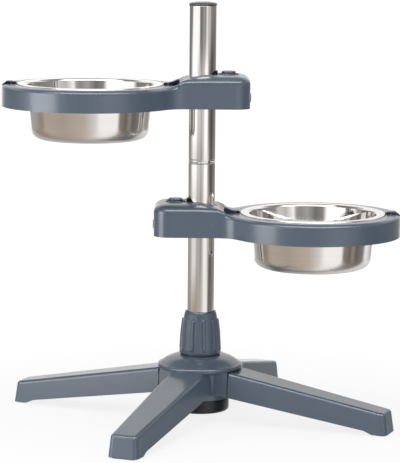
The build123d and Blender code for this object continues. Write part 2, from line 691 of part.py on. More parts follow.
def liners():
    """Two glide liners on the pole, one in the bush and one in the cover's boss."""
    inner = POLE_R + RUN_FIT
    outer = inner + LINER_WALL
    top = tube(outer, inner, STEP_Z + RUN_FIT, BLOCK_HEIGHT - BUSH_NECK_H - BUSH_LIP - RUN_FIT)
    bottom = tube(outer, inner, COVER_LIP + RUN_FIT, COVER_BOSS_TOP)
    return top, bottom


def arm_cover():
    """The plate that closes the block from beneath and holds the lower liner."""
    bore = POLE_R + RUN_FIT + LINER_WALL + RUN_FIT
    body = extrude(block_plan(COVER_FIT), COVER_THICK)
    body += tube(bore + COVER_BOSS_WALL, 0, 0, COVER_BOSS_TOP)
    body -= tube(bore, 0, COVER_LIP, COVER_BOSS_TOP)
    body -= tube(POLE_R + LOOSE_FIT, 0, 0, COVER_LIP)
    end = -BLOCK_END + ARM_WALL + COVER_FIT
    half = COVER_LUG_WIDTH / 2
    body += block((end, end + COVER_LUG_THICK), (-half, half), (0, COVER_LUG_TOP))
    body -= Pos(0, 0, END_SCREW_Z) * rod(END_SCREW_R, end, end + COVER_LUG_THICK, "x")
    body += Pos(-SPRING_X, 0, 0) * tube(SPRING_PEG_R, 0, COVER_THICK, COVER_THICK + SPRING_PEG_H)
    for x, y in cover_screw_places():
        body -= Pos(x, y, 0) * tube(COVER_SCREW_R, 0, 0, COVER_THICK)
        body -= Pos(x, y, 0) * tube(COVER_SCREW_HEAD_R, 0, 0, COVER_SCREW_HEAD_H)
    return body


def cover_screws():
    one = screw(COVER_SCREW_R, COVER_SCREW_LENGTH, COVER_SCREW_HEAD_R, COVER_SCREW_HEAD_H)
    return Part() + [Pos(x, y, 0) * one for x, y in cover_screw_places()]


def end_screw():
    length = ARM_WALL + END_BOSS_PROUD - END_SCREW_HEAD_H + COVER_FIT + COVER_LUG_THICK
    one = screw(END_SCREW_R, length, END_SCREW_HEAD_R, END_SCREW_HEAD_H)
    return Pos(-BLOCK_END - END_BOSS_PROUD, 0, END_SCREW_Z) * Rot(0, 90, 0) * one


def release_button():
    """A domed cap with two side lugs under the roof and a stem that bears on the lock plate."""
    roof = BLOCK_HEIGHT - ARM_ROOF
    top = BLOCK_HEIGHT + BUTTON_PROUD
    under = roof - LOOSE_FIT - BUTTON_LUG_THICK
    body = tube(BUTTON_R, 0, under, top)
    body = fillet(body.edges().sort_by(Axis.Z)[-1], BUTTON_DOME)
    wide = BUTTON_R + BUTTON_LUG_REACH
    half = BUTTON_LUG_WIDTH / 2
    body += block((-half, half), (-wide, wide), (under, under + BUTTON_LUG_THICK))
    stem = PLATE_Z + PLATE_THICK + BUTTON_TRAVEL + LOOSE_FIT
    return Pos(-BUTTON_X, 0, 0) * (body + tube(BUTTON_STEM_R, 0, stem, under))


def plate_tilt():
    """The angle in degrees that the lock plate stands at until the button levels it."""
    return degrees(asin(BUTTON_TRAVEL / (BUTTON_X + PLATE_PIN_X)))


def lock_plate():
    """A steel plate round the pole that jams on it while its free end is sprung upwards."""
    half = PLATE_WIDTH / 2
    middle = PLATE_Z + PLATE_THICK / 2
    plan = Pos((PLATE_PIN_X - PLATE_END) / 2, 0) * Rectangle(PLATE_PIN_X + PLATE_END, PLATE_WIDTH)
    plan = fillet(plan.vertices().group_by(Axis.X)[0], PLATE_THICK * 2)
    body = Pos(0, 0, PLATE_Z) * extrude(plan, PLATE_THICK)
    body += Pos(PLATE_PIN_X, 0, middle) * rod(PLATE_BEAD_R, -half, half, "y")
    body -= Pos(PLATE_PIN_X, 0, middle) * rod(PIN_R + PIN_RUN, -half, half, "y")
    body -= tube(POLE_R + PLATE_HOLE_GAP, 0, 0, BLOCK_HEIGHT)
    pivot = Axis((PLATE_PIN_X, 0, middle), (0, 1, 0))
    return body.rotate(pivot, plate_tilt())


def plate_pin():
    reach = PLATE_WIDTH / 2 + EAR_GAP + EAR_THICK
    return Pos(PLATE_PIN_X, 0, PLATE_Z + PLATE_THICK / 2) * rod(PIN_R, -reach, reach, "y")


def plate_spring():
    """The coil that holds the plate's free end up, as one helix between the cover and the plate."""
    lift = (PLATE_PIN_X + SPRING_X - SPRING_R - SPRING_WIRE_R) * sin(radians(plate_tilt()))
    height = PLATE_Z + lift - LOOSE_FIT - COVER_THICK - 2 * SPRING_WIRE_R
    path = Helix(height / SPRING_TURNS, height, SPRING_R)
    steps = [path @ (i / SPRING_STEPS) for i in range(SPRING_STEPS + 1)]
    turn = SPRING_STEPS // SPRING_TURNS
    apart = [(a - b).length for i, a in enumerate(steps) for b in steps[i + turn // 2:]]
    print("plate spring's least gap to itself", round(min(apart) - 2 * SPRING_WIRE_R, 2))
    wire = sweep(Plane(origin=path @ 0, z_dir=path % 0) * Circle(SPRING_WIRE_R), path=path)
    return Pos(-SPRING_X, 0, COVER_THICK + SPRING_WIRE_R) * wire


# Rim stops: a plug-in lug at each end of the ring with a rubber nose towards the bowl's flange
def rim_stop(turn):
    half = STOP_WIDTH / 2
    reach = (SEAT_R + STOP_NOSE, SEAT_R + STOP_NOSE + STOP_LENGTH)
    body = block(reach, (-half, half), (RING_HEIGHT, RING_HEIGHT + STOP_PROUD))
    body = fillet(body.edges().filter_by(Axis.X).group_by(Axis.Z)[-1], STOP_PROUD * 0.5)
    return at_ring(body + stop_stem(), turn)


def stop_nose(turn):
    half = STOP_WIDTH / 2 - NOSE_INSET
    top = RING_HEIGHT + STOP_PROUD - NOSE_DROP
    body = block((SEAT_R, SEAT_R + STOP_NOSE), (-half, half), (RING_HEIGHT, top))
    edges = body.edges().filter_by(Axis.Y).group_by(Axis.Z)[-1].sort_by(Axis.X)
    return at_ring(fillet(edges[0], STOP_PROUD * 0.4), turn)


# Bowl: pressed from one steel sheet, with a rolled bead, a rounded mouth and a large base corner
def bowl():
    seat = RING_HEIGHT - SEAT_DEPTH + BOWL_SEAT_GAP
    top = seat + 2 * BOWL_BEAD_R
    mouth = BOWL_FLANGE_R - BOWL_FLANGE
    corner = (mouth - BOWL_TAPER - BOWL_CORNER, BOWL_CORNER - BOWL_DROP)
    lip = (mouth + BOWL_LIP_R, top - BOWL_LIP_R)
    across = lip[0] - corner[0]
    rise = lip[1] - corner[1]
    reach = BOWL_CORNER + BOWL_LIP_R - BOWL_SHEET
    slant = acos(reach / sqrt(across ** 2 + rise ** 2)) - atan2(rise, across)

    def on_arc(centre, radius, angle):
        return (centre[0] + radius * cos(angle), 0, centre[1] + radius * sin(angle))

    def side(corner_r, lip_r):
        """One face of the sheet from the middle of the base up to the flange."""
        low = on_arc(corner, corner_r, -pi / 2)
        bend = on_arc(corner, corner_r, (-slant - pi / 2) / 2)
        waist = on_arc(corner, corner_r, -slant)
        throat = on_arc(lip, lip_r, pi - slant)
        roll = on_arc(lip, lip_r, (3 * pi / 2 - slant) / 2)
        flange = on_arc(lip, lip_r, pi / 2)
        edges = [
            Line((0, 0, low[2]), low),
            ThreePointArc(low, bend, waist),
            Line(waist, throat),
            ThreePointArc(throat, roll, flange),
        ]
        return edges, flange

    under, under_end = side(BOWL_CORNER, BOWL_LIP_R - BOWL_SHEET)
    inner, inner_end = side(BOWL_CORNER - BOWL_SHEET, BOWL_LIP_R)
    bead_x = BOWL_FLANGE_R - BOWL_BEAD_R
    bead_top = (bead_x, 0, top)
    bead_in = bead_x - sqrt(BOWL_BEAD_R ** 2 - (BOWL_BEAD_R - BOWL_SHEET) ** 2)
    join = (bead_in, 0, top - BOWL_SHEET)
    bead = [
        Line(inner_end, bead_top),
        ThreePointArc(bead_top, (BOWL_FLANGE_R, 0, seat + BOWL_BEAD_R), (bead_x, 0, seat)),
        ThreePointArc((bead_x, 0, seat), (bead_x - BOWL_BEAD_R, 0, seat + BOWL_BEAD_R), join),
        Line(join, under_end),
        Line((0, 0, -BOWL_DROP), (0, 0, BOWL_SHEET - BOWL_DROP)),
    ]
    return at_ring(revolve(make_face(under + inner + bead), Axis.Z))


def base_parts():
    """The pieces of the pole and the base, by name."""
    lower_tube, upper_tube = pole_tubes()
    legs = [Rot(0, 0, LEG_TURN + 90 * quarter) for quarter in range(4)]
    screws = [turn * one for turn in (legs[0], legs[2]) for one in leg_screws()]
    return {
        "base_hub": hub(),
        "leg_right": legs[0] * side_leg(),
        "leg_left": legs[2] * side_leg(),
        "leg_screws": Part() + screws,
        "foot_pads": Part() + [turn * foot_pad() for turn in legs],
        "base_cap": base_cap(),
        "base_bolt": base_bolt(),
        "pole_collet": collet(),
        "lock_collar": lock_collar(),
        "pole_plug": pole_plug(),
        "pole_lower_tube": lower_tube,
        "pole_upper_tube": upper_tube,
        "pole_joiner": pole_joiner(),
        "pole_cap": pole_cap(),
    }


def arm_parts():
    """The pieces of one bowl arm in the arm's own frame, by name."""
    top_liner, bottom_liner = liners()
    return {
        "arm": bowl_arm(),
        "guide_bush": guide_bush(),
        "arm_cover": arm_cover(),
        "cover_screws": cover_screws(),
        "end_screw": end_screw(),
        "liner_top": top_liner,
        "liner_bottom": bottom_liner,
        "release_button": release_button(),
        "lock_plate": lock_plate(),
        "plate_pin": plate_pin(),
        "plate_spring": plate_spring(),
        "stop_far": rim_stop(STOP_FAR_TURN),
        "stop_neck": rim_stop(STOP_NECK_TURN),
        "stop_noses": Part() + [stop_nose(STOP_FAR_TURN), stop_nose(STOP_NECK_TURN)],
        "bowl": bowl(),
    }


pieces = base_parts()
arm = arm_parts()
for level, height, turn in (("upper", UPPER_ARM_Z, 180), ("lower", LOWER_ARM_Z, 0)):
    for name, piece in arm.items():
        pieces[level + "_" + name] = Pos(0, 0, height) * Rot(0, 0, turn) * piece

os.makedirs("parts", exist_ok=True)
for name, piece in pieces.items():
    export_step(piece, "parts/" + name + ".step")
print(len(pieces), "pieces written")
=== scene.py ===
from math import cos, pi, radians, sin
import bmesh
import bpy
import numpy as np
from mathutils import Matrix


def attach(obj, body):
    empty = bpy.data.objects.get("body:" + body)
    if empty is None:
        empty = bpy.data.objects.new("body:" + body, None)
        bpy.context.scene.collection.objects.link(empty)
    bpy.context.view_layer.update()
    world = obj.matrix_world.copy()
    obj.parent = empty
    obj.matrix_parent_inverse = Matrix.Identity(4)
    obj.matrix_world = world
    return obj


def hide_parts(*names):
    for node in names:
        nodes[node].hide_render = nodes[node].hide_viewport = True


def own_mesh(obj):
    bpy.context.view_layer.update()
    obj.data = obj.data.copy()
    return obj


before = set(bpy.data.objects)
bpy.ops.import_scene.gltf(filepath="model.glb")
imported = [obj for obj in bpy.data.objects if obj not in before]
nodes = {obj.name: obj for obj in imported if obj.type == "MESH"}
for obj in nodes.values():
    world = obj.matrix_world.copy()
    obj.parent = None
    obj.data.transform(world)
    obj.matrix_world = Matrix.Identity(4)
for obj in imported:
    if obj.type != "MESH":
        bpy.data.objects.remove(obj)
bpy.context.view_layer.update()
scene = bpy.context.scene
scene.view_settings.view_transform = "Standard"


# ---- Camera
# Stands 2.6 m in front of the feeder and a little above the upper bowl, with a long lens,
# looking 8.2 degrees down, so rims and feet line up as they do in the photo.
lens = bpy.data.cameras.new("studio_lens")
lens.sensor_fit = "HORIZONTAL"
lens.sensor_width = 36
lens.lens = 212.6
lens.clip_end = 80
camera = bpy.data.objects.new("studio_camera", lens)
scene.collection.objects.link(camera)
tilt = Matrix.Rotation(radians(90 - 8.2), 4, "X") @ Matrix.Rotation(radians(0.5), 4, "Z")
camera.matrix_world = Matrix.Translation((-0.00128, -2.5734, 0.5788)) @ tilt
scene.camera = camera


# ---- Studio
# A wide pale floor, a large soft lamp above, weaker ones in front and at the left, and a surround
# that only shows in what steel and plastic mirror: pale walls with grey gaps, a pale ceiling, and a
# bright strip high in front that draws the lines along rounded edges.
def add(tree, kind, inputs=None, **settings):
    """Adds a node, sets its settings, and fills its sockets with values or with other sockets."""
    node = tree.nodes.new("ShaderNode" + kind)
    for name, value in settings.items():
        setattr(node, name, value)
    for name, value in (inputs or {}).items():
        if isinstance(value, bpy.types.NodeSocket):
            tree.links.new(value, node.inputs[name])
        else:
            node.inputs[name].default_value = value
    return node


def math(tree, operation, a, b=0.0):
    """The value of one sum on two values."""
    return add(tree, "Math", {0: a, 1: b}, operation=operation).outputs[0]


def remap(tree, value, low, high, to_low=0.0, to_high=1.0, smooth=False):
    """A value stretched from one range to another, held at its ends."""
    kind = "SMOOTHSTEP" if smooth else "LINEAR"
    ends = {"From Min": low, "From Max": high, "To Min": to_low, "To Max": to_high}
    return add(tree, "MapRange", {"Value": value, **ends}, interpolation_type=kind).outputs["Result"]


def ramp(tree, value, stops):
    """Grey levels or colours along a value from 0 to 1."""
    node = add(tree, "ValToRGB", {"Fac": value})
    bands = node.color_ramp.elements
    for place, (position, level) in enumerate(stops):
        band = bands[place] if place < 2 else bands.new(1)
        band.position = position
        band.color = (*level, 1) if isinstance(level, tuple) else (level, level, level, 1)
    return node.outputs["Color"]


def blend(tree, factor, a, b):
    """A colour between two colours."""
    node = add(tree, "Mix", {0: factor, 6: a, 7: b}, data_type="RGBA")
    return node.outputs[2]


def walls(tree, azimuth, stops):
    """Grey levels by the direction's angle from the camera side, in degrees to the right."""
    return ramp(tree, azimuth, [((angle + 180) / 360, level) for angle, level in stops])


world = bpy.data.worlds.new("studio_surround")
world.use_nodes = True
scene.world = world
tree = world.node_tree
tree.nodes.clear()
aim = add(tree, "SeparateXYZ", {0: add(tree, "TexCoord").outputs["Generated"]})
behind = math(tree, "MULTIPLY", aim.outputs["Y"], -1)
turn = math(tree, "ARCTAN2", aim.outputs["X"], behind)
azimuth = math(tree, "MULTIPLY_ADD", turn, 1 / (2 * pi))
azimuth.node.inputs[2].default_value = 0.5

# The walls at eye level, which the pole and the upright plastic faces mirror
level_walls = walls(tree, azimuth, [
    (-180, 1.6), (-162, 1.9), (-146, 0.4), (-112, 0.25), (-80, 1.9), (-50, 1.9), (-34, 1.0),
    (-13, 0.95), (-8, 0.6), (0, 1.0), (14, 0.9), (24, 1.9), (40, 1.8), (56, 0.4), (78, 0.12),
    (100, 0.18), (120, 0.3), (148, 0.45), (160, 1.4), (180, 1.6)])
# The walls a little lower, which the pole mirrors near its foot
waist_walls = walls(tree, azimuth, [
    (-180, 1.6), (-160, 1.8), (-145, 0.5), (-105, 0.55), (-70, 1.3), (-52, 1.2), (-34, 0.65),
    (-16, 0.65), (-4, 0.48), (10, 0.85), (24, 1.45), (40, 1.4), (54, 0.95), (66, 0.4), (84, 0.1),
    (98, 0.3), (122, 0.35), (148, 0.45), (160, 1.4), (180, 1.6)])
# The walls near the floor, warm in front, which the bowls' tapered sides mirror
low_walls = walls(tree, azimuth, [
    (-180, 0.7), (-145, 0.75), (-130, (0.42, 0.36, 0.3)), (-104, (0.4, 0.34, 0.28)),
    (-92, (0.62, 0.55, 0.48)), (-50, (0.58, 0.5, 0.43)), (-8, (0.7, 0.63, 0.56)), (12, 0.95),
    (22, 1.35), (56, 1.35), (62, (0.36, 0.32, 0.28)), (76, (0.22, 0.2, 0.18)),
    (84, (0.4, 0.37, 0.34)), (92, (0.2, 0.18, 0.17)), (112, 0.3), (122, 1.2), (142, 1.1), (180, 0.7)])
# The walls above eye level, which the bowls' insides and the legs' tops mirror
high_walls = walls(tree, azimuth, [
    (-180, 1.15), (-158, 1.0), (-146, 0.35), (-94, 0.3), (-84, 1.6), (-30, 1.7), (-22, 0.38),
    (-8, 0.25), (8, 0.55), (20, 0.4), (28, 0.5), (34, 1.4), (48, 0.75), (64, 0.9), (72, 0.4),
    (120, 0.3), (142, 0.4), (156, 1.0), (180, 1.15)])

# The surround from the floor up: the walls, then paler behind than in front, then the bright strip
# in front, and the plain ceiling
height = aim.outputs["Z"]
walls_seen = blend(tree, remap(tree, height, -0.27, -0.2, smooth=True), low_walls, waist_walls)
walls_seen = blend(tree, remap(tree, height, -0.14, -0.07, smooth=True), walls_seen, level_walls)
walls_seen = blend(tree, remap(tree, height, 0.0, 0.09, smooth=True), walls_seen, high_walls)
back = remap(tree, aim.outputs["Y"], -0.1, 0.4, 0.35, 1.4, smooth=True)
walls_seen = blend(tree, remap(tree, height, 0.3, 0.42, smooth=True), walls_seen, back)
strip = remap(tree, aim.outputs["Y"], -0.35, -0.15, 9.0, 0.35, smooth=True)
walls_seen = blend(tree, remap(tree, height, 0.58, 0.66, smooth=True), walls_seen, strip)
walls_seen = blend(tree, remap(tree, height, 0.88, 0.94, smooth=True), walls_seen, (0.55, 0.55, 0.55, 1))

# Plain soft light on matt surfaces, the surround in what glossy ones mirror, and white for the camera
warm = add(
    tree, "Mix", {0: 1.0, 6: walls_seen, 7: (1.0, 0.975, 0.95, 1)}, data_type="RGBA", blend_type="MULTIPLY")
ray = add(tree, "LightPath")
soft = blend(tree, ray.outputs["Is Glossy Ray"], (0.42, 0.423, 0.43, 1), warm.outputs[2])
shown = math(tree, "MAXIMUM", ray.outputs["Is Camera Ray"], ray.outputs["Is Transmission Ray"])
sky = add(tree, "Background", {"Color": blend(tree, shown, soft, (1, 1, 1, 1)), "Strength": 1})
tree.links.new(sky.outputs[0], add(tree, "OutputWorld").inputs["Surface"])

bpy.ops.mesh.primitive_plane_add(size=80, location=(0, 0, 0))
floor = bpy.context.object
floor.name = "studio_floor"
floor.visible_glossy = False
pale = bpy.data.materials.new("pale_floor")
pale.use_nodes = True
tree = pale.node_tree
tree.nodes.clear()
ray = add(tree, "LightPath")
matt = add(tree, "BsdfDiffuse", {"Color": (0.88, 0.88, 0.88, 1)})
white = add(tree, "Emission", {"Color": (1, 1, 1, 1), "Strength": 1.05})
# Near the feeder a fifth of the floor's own shade shows, and from 0.75 m out it is plain white
spot = add(tree, "TexCoord").outputs["Object"]
spread = add(tree, "VectorMath", {0: spot}, operation="LENGTH").outputs["Value"]
whiteness = remap(tree, spread, 0.22, 0.75, 0.8, 1.0, smooth=True)
seen = math(tree, "MULTIPLY", ray.outputs["Is Camera Ray"], whiteness)
cover = add(tree, "MixShader", {0: seen, 1: matt.outputs[0], 2: white.outputs[0]})
tree.links.new(cover.outputs[0], add(tree, "OutputMaterial").inputs["Surface"])
floor.data.materials.append(pale)


def soft_lamp(name, place, turn, size, power, mirrored=False, lights=True):
    """A soft lamp of a width and height, which the camera doesn't see. One that lights nothing only
    leaves a glare."""
    light = bpy.data.lights.new(name, "AREA")
    light.shape = "RECTANGLE"
    light.size, light.size_y = size
    light.energy = power
    lamp = bpy.data.objects.new(name, light)
    lamp.matrix_world = Matrix.Translation(place) @ turn
    lamp.visible_glossy = mirrored
    lamp.visible_diffuse = lights
    lamp.visible_camera = False
    scene.collection.objects.link(lamp)
    return lamp


overhead = Matrix.Rotation(radians(8), 4, "X")
soft_lamp("overhead_lamp", (-0.1, -0.3, 2.4), overhead, (1.8, 1.8), 21)
upright = Matrix.Rotation(radians(90), 4, "X")
soft_lamp("front_lamp", (0.3, -1.7, 0.35), upright, (1.2, 0.8), 6.5)
leftward = Matrix.Rotation(radians(-60), 4, "Z") @ upright
soft_lamp("left_lamp", (-0.84, -0.38, 0.5), leftward, (0.8, 0.96), 2.2)
glare = soft_lamp(
    "glare_lamp", (-0.92, -0.5, 0.33), leftward, (0.6, 0.62), 5.6, mirrored=True, lights=False)
unglared = bpy.data.collections.new("unglared")
glare.light_linking.receiver_collection = unglared


# ---- Base hub
# One injection moulding in slate-blue ABS: the domed disc, the short barrel under it and the
# front and back legs. Its skin is lightly grained, and handled smooth in places.
def group(name, ins, outs):
    """An empty node group with the named value or colour sockets."""
    tree = bpy.data.node_groups.new(name, "ShaderNodeTree")
    for label, value in ins.items():
        kind = "NodeSocketColor" if isinstance(value, tuple) else "NodeSocketFloat"
        tree.interface.new_socket(label, in_out="INPUT", socket_type=kind).default_value = value
    for label, kind in outs.items():
        tree.interface.new_socket(label, in_out="OUTPUT", socket_type="NodeSocket" + kind)
    return tree, tree.nodes.new("NodeGroupInput"), tree.nodes.new("NodeGroupOutput")


def use(tree, name, values):
    """Places a node group in a material with this material's own values."""
    node = tree.nodes.new("ShaderNodeGroup")
    node.node_tree = bpy.data.node_groups[name]
    for label, value in values.items():
        if isinstance(value, bpy.types.NodeSocket):
            tree.links.new(value, node.inputs[label])
        else:
            node.inputs[label].default_value = value
    return node.outputs


def noise(tree, place, scale, detail=2.0, rough=0.5):
    """Cloudy noise from 0 to 1 at a place."""
    values = {"Vector": place, "Scale": scale, "Detail": detail, "Roughness": rough}
    return add(tree, "TexNoise", values).outputs[0]


# Moulded skin: fine grain with a slow unevenness under it
tree, given, result = group(
    "moulded_skin", {"Grain": 1500.0, "Flow": 60.0, "Flow Depth": 0.3}, {"Height": "Float"})
place = add(tree, "TexCoord").outputs["Object"]
fine = noise(tree, place, given.outputs["Grain"], 3)
slow = noise(tree, place, given.outputs["Flow"], 1)
height = math(tree, "MULTIPLY_ADD", slow, given.outputs["Flow Depth"])
tree.links.new(fine, height.node.inputs[2])
tree.links.new(height, result.inputs["Height"])

# Pigment: two near shades of one colour in soft patches, with a dusty film on faces that look up
tree, given, result = group(
    "pigment", {"Tint": (0.1, 0.12, 0.16, 1), "Shade": (0.09, 0.11, 0.15, 1), "Patch": 30.0, "Film": 0.05},
    {"Color": "Color"})
place = add(tree, "TexCoord").outputs["Object"]
patch = remap(tree, noise(tree, place, given.outputs["Patch"], 4, 0.6), 0.3, 0.7)
colour = blend(tree, patch, given.outputs["Shade"], given.outputs["Tint"])
up = add(tree, "SeparateXYZ", {0: add(tree, "NewGeometry").outputs["Normal"]}).outputs["Z"]
speck = remap(tree, noise(tree, place, 420.0, 5, 0.7), 0.35, 0.75)
dust = math(tree, "MULTIPLY", remap(tree, up, 0.4, 1.0), speck)
film = math(tree, "MULTIPLY", dust, given.outputs["Film"])
colour = blend(tree, film, colour, (0.55, 0.54, 0.52, 1))
tree.links.new(colour, result.inputs["Color"])

# Handling: smooth and duller patches, and faint rubs
tree, given, result = group(
    "handling", {"Smooth": 0.3, "Dull": 0.42, "Patch": 22.0}, {"Roughness": "Float"})
place = add(tree, "TexCoord").outputs["Object"]
smear = noise(tree, place, given.outputs["Patch"], 5, 0.65)
rough = remap(tree, smear, 0.3, 0.7, given.outputs["Smooth"], given.outputs["Dull"])
tree.links.new(rough, result.inputs["Roughness"])


def moulded(name, tint, shade, smooth, dull, film=0.05, grain=1500.0, bump=0.05, ior=1.52):
    """Moulded plastic or rubber: pigment, handling and skin on one Principled shader."""
    material = bpy.data.materials.new(name)
    material.use_nodes = True
    tree = material.node_tree
    shader = tree.nodes["Principled BSDF"]
    shader.inputs["IOR"].default_value = ior
    paint = use(tree, "pigment", {"Tint": (*tint, 1), "Shade": (*shade, 1), "Patch": 30.0, "Film": film})
    tree.links.new(paint["Color"], shader.inputs["Base Color"])
    gloss = use(tree, "handling", {"Smooth": smooth, "Dull": dull, "Patch": 22.0})
    tree.links.new(gloss["Roughness"], shader.inputs["Roughness"])
    skin = use(tree, "moulded_skin", {"Grain": grain, "Flow": 60.0, "Flow Depth": 0.4})
    relief = add(tree, "Bump", {"Height": skin["Height"], "Strength": bump, "Distance": 0.0003})
    tree.links.new(relief.outputs[0], shader.inputs["Normal"])
    return material


def dress(material, *names):
    """Gives CAD nodes a material."""
    for name in names:
        for place in nodes[name].material_slots:
            place.material = material


slate = moulded("slate_moulding", (0.096, 0.128, 0.172), (0.09, 0.12, 0.162), 0.2, 0.28, film=0.05)
dress(slate, "base_hub")


# ---- Side legs
# Two slate mouldings like the hub's own legs. Each plugs into the barrel on a tongue and is held
# by two screws, so a fine dark seam runs round its root.
dress(slate, "leg_left", "leg_right")


# ---- Leg root blends
# The hub's own front and back legs flow out of it: their tops sweep up to the disc's lip, and a
# hollow of 3.5 mm runs down each corner between barrel and leg. They are part of the same moulding.
LEG_TURN, LEG_ROOT, LEG_TIP = -21.1, 40, 221
LEG_EDGE, LEG_DRAFT = 4, 4.5
BARREL_R, HOLLOW = 33.0, 3.5
SWEEP_FROM, SWEEP_LONG, SWEEP_HIGH = 46, 12, 3.7


def leg_top(u):
    """A leg's top falls evenly from 56.6 mm at its root to 24 mm at its tip."""
    return 56.6 - 32.6 * (u - LEG_ROOT) / (LEG_TIP - LEG_ROOT)


def leg_half(u):
    """Half a leg's width, from 21 mm at its root to 15.25 mm at its tip."""
    return 21 - 5.75 * (u - LEG_ROOT) / (LEG_TIP - LEG_ROOT)


def about_pole(grid, turn):
    """A grid of (along the leg, across it, up) turned about the pole by an angle in degrees."""
    a = radians(turn)
    u, v, z = np.moveaxis(grid, -1, 0)
    return np.stack([u * cos(a) - v * sin(a), u * sin(a) + v * cos(a), z], axis=-1)


def closed_rows(grid):
    """A grid with its first and last rows drawn to their middles, so that the ends are closed."""
    ends = [np.repeat(grid[i:i + 1].mean(axis=1, keepdims=True), grid.shape[1], axis=1) for i in (0, -1)]
    return np.concatenate([ends[0], grid, ends[1]])


def root_sweep(turn):
    """The leg's top with its rounded edges, raised near the disc by 3.7 (1 - s)^2 mm, where s goes
    from 0 at 46 mm from the axis to 1 at 58 mm, and less towards the edges. A flat underside inside
    the leg closes it."""
    u = np.linspace(LEG_ROOT, 58, 19)[:, None]
    half = leg_half(u) - 0.47
    v = half * np.sin(np.linspace(-0.5, 0.5, 33) * pi)
    over = np.clip(np.abs(v) - half + LEG_EDGE, 0, LEG_EDGE)
    skin = leg_top(u) - LEG_EDGE + np.sqrt(LEG_EDGE ** 2 - over ** 2)
    s = np.clip((np.hypot(u, v) - SWEEP_FROM) / SWEEP_LONG, 0, 1)
    edge = 1 - np.clip((np.abs(v) - half + 5) / 5, 0, 1) ** 2
    top = np.stack([u + 0 * v, v * 0.995, skin + SWEEP_HIGH * (1 - s) ** 2 * edge - 0.1], axis=-1)
    under = top[:, ::-4] * (1, 0.8, 0) + np.stack([0 * u, 0 * u, leg_top(u) - 8], axis=-1)
    return about_pole(closed_rows(np.concatenate([top, under], axis=1)), turn)


def corner_hollow(turn, side):
    """An upright strip whose face is an arc that touches the barrel's circle and the leg's leaning
    side, with its back inside both."""
    z = np.linspace(29.5, 55, 14)[:, None]
    wide = leg_half(28) + (leg_top(28) - 6 - z) * np.tan(radians(LEG_DRAFT))
    v_mid = wide + HOLLOW
    u_mid = np.sqrt((BARREL_R + HOLLOW) ** 2 - v_mid ** 2)
    first = np.arctan2(v_mid, u_mid) + pi
    angle = first + (1.5 * pi - first) * np.linspace(0, 1, 9)
    u = np.hstack([u_mid + HOLLOW * np.cos(angle), u_mid, u_mid - 4])
    v = np.hstack([v_mid + HOLLOW * np.sin(angle), wide - 2, wide - 1])
    return about_pole(closed_rows(np.stack([u, side * v, z + 0 * u], axis=-1)), turn)


def piece(name, grids, material, body, ends_meet=False, crease=38):
    """A mesh over grids of points in mm, each joined round its columns. A row whose points all meet
    becomes one point. With ends_meet the last row is joined to the first."""
    points = []
    faces = []
    count = 0
    for grid in grids:
        rows, columns = grid.shape[:2]
        number = np.arange(rows * columns).reshape(rows, columns) + count
        met = np.ptp(grid, axis=1).max(axis=1) < 1e-6
        number[met] = number[met, :1]
        low = number if ends_meet else number[:-1]
        high = np.roll(number, -1, 0) if ends_meet else number[1:]
        quads = np.stack([low, np.roll(low, -1, 1), np.roll(high, -1, 1), high], axis=-1).reshape(-1, 4)
        foot = quads[:, 0] == quads[:, 1]
        peak = quads[:, 2] == quads[:, 3]
        faces += quads[~foot & ~peak].tolist()
        faces += quads[foot][:, [0, 2, 3]].tolist() + quads[peak][:, :3].tolist()
        points.append(grid.reshape(-1, 3))
        count += rows * columns
    points = np.concatenate(points)
    used = np.unique(np.concatenate([np.array(face) for face in faces]))
    places = np.zeros(count, int)
    places[used] = np.arange(len(used))
    mesh = bpy.data.meshes.new(name)
    mesh.from_pydata((points[used] / 1000).tolist(), [], [places[face].tolist() for face in faces])
    shell = bmesh.new()
    shell.from_mesh(mesh)
    bmesh.ops.recalc_face_normals(shell, faces=shell.faces)
    shell.to_mesh(mesh)
    shell.free()
    mesh.shade_smooth()
    mesh.set_sharp_from_angle(angle=radians(crease))
    mesh.materials.append(material)
    thing = bpy.data.objects.new(name, mesh)
    scene.collection.objects.link(thing)
    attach(thing, body)
    return thing


blends = [root_sweep(LEG_TURN + 90), root_sweep(LEG_TURN + 270)]
blends += [corner_hollow(LEG_TURN + turn, side) for turn in (90, 270) for side in (-1, 1)]
piece("leg_root_blends", blends, slate, "stand")


# ---- Foot pads
# Four soft dark rubber pads let into the feet, with a dull, slightly scuffed face.
rubber_and_shade = moulded(
    "grey_rubber_and_shade", (0.055, 0.057, 0.06), (0.04, 0.042, 0.045), 0.6, 0.78, film=0.1, grain=900.0, bump=0.2)
dress(rubber_and_shade, "foot_pads")


# ---- Base cap
# A black moulded cup pushed up under the barrel, with a fine groove where they meet, a round lower
# edge, and a hole in its middle for the bolt's head.
def rounded(corners, steps=6):
    """A profile with rounded corners: at each corner given as (r, z, radius), an arc that touches both
    sides replaces the point, and a radius of zero leaves it sharp."""
    places = np.array([corner[:2] for corner in corners], float)
    line = [places[:1]]
    for i in range(1, len(corners) - 1):
        before = places[i - 1] - places[i]
        after = places[i + 1] - places[i]
        before /= np.hypot(*before)
        after /= np.hypot(*after)
        half = np.arccos(np.clip(before @ after, -1, 1)) / 2
        radius = corners[i][2]
        if radius == 0 or half > 1.55:
            line.append(places[i:i + 1])
            continue
        middle = places[i] + (before + after) / np.hypot(*(before + after)) * radius / np.sin(half)
        start = places[i] + before * radius / np.tan(half) - middle
        end = places[i] + after * radius / np.tan(half) - middle
        share = np.linspace(0, 1, steps)[:, None]
        turned_by = np.arccos(np.clip(start @ end / radius ** 2, -1, 1))
        arc = start * np.sin((1 - share) * turned_by) + end * np.sin(share * turned_by)
        line.append(middle + arc / np.sin(turned_by))
    line.append(places[-1:])
    return np.concatenate(line)


